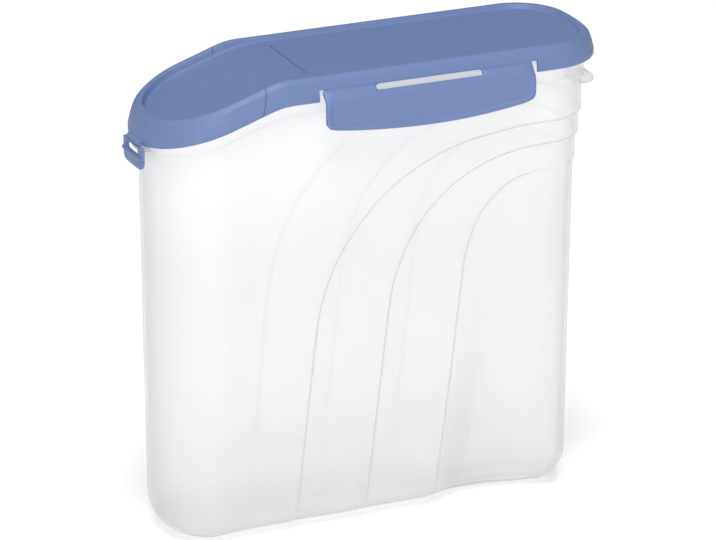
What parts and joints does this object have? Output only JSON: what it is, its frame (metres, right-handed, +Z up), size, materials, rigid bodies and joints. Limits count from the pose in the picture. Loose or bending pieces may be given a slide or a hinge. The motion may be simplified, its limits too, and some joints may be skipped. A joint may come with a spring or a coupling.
{
  "type": "cereal container with flip spout",
  "caption": "Tall narrow translucent food keeper with a blue clip-on lid, a flip-up pouring flap with a front clip, and a hinged latch on each long side.",
  "frame": {"origin": "on the flat foot that the tub stands on, at the middle of the tub's plan", "axes": "+X along the length away from the pouring spout, +Y across the narrow width, +Z up"},
  "size_m": [0.2478, 0.0896, 0.241],
  "materials": {
    "tub_plastic": "satin, translucent natural polypropylene",
    "lid_plastic": "satin moulded polypropylene"
  },
  "bodies": {
    "tub": {"container": "tub_plastic"},
    "lid": {"lid_frame": "lid_plastic"},
    "flap": {"spout_flap": "lid_plastic"},
    "clip": {"front_clip": "lid_plastic"},
    "near_latch": {"near_latch": "lid_plastic"},
    "far_latch": {"far_latch": "lid_plastic"}
  },
  "joints": [
    {"name": "lid_lift", "type": "slide", "parent": "tub", "child": "lid", "axis": [0, 0, 1], "range_m": [0, 0.06]},
    {"name": "flap_hinge", "type": "hinge", "parent": "lid", "child": "flap", "pos_m": [-0.0396, 0, 0.2389], "axis": [0, 1, 0], "range_deg": [0, 120]},
    {"name": "clip_flex", "type": "hinge", "parent": "flap", "child": "clip", "pos_m": [-0.122, 0, 0.20791], "axis": [0, 1, 0], "range_deg": [0, 12], "stiffness_Nm_per_rad": 0.05},
    {"name": "near_latch_hinge", "type": "hinge", "parent": "lid", "child": "near_latch", "pos_m": [0.0198, -0.03862, 0.23475], "axis": [-1, 0, 0], "range_deg": [0, 120]},
    {"name": "far_latch_hinge", "type": "hinge", "parent": "lid", "child": "far_latch", "pos_m": [0.0198, 0.03862, 0.23475], "axis": [1, 0, 0], "range_deg": [0, 120]}
  ]
}
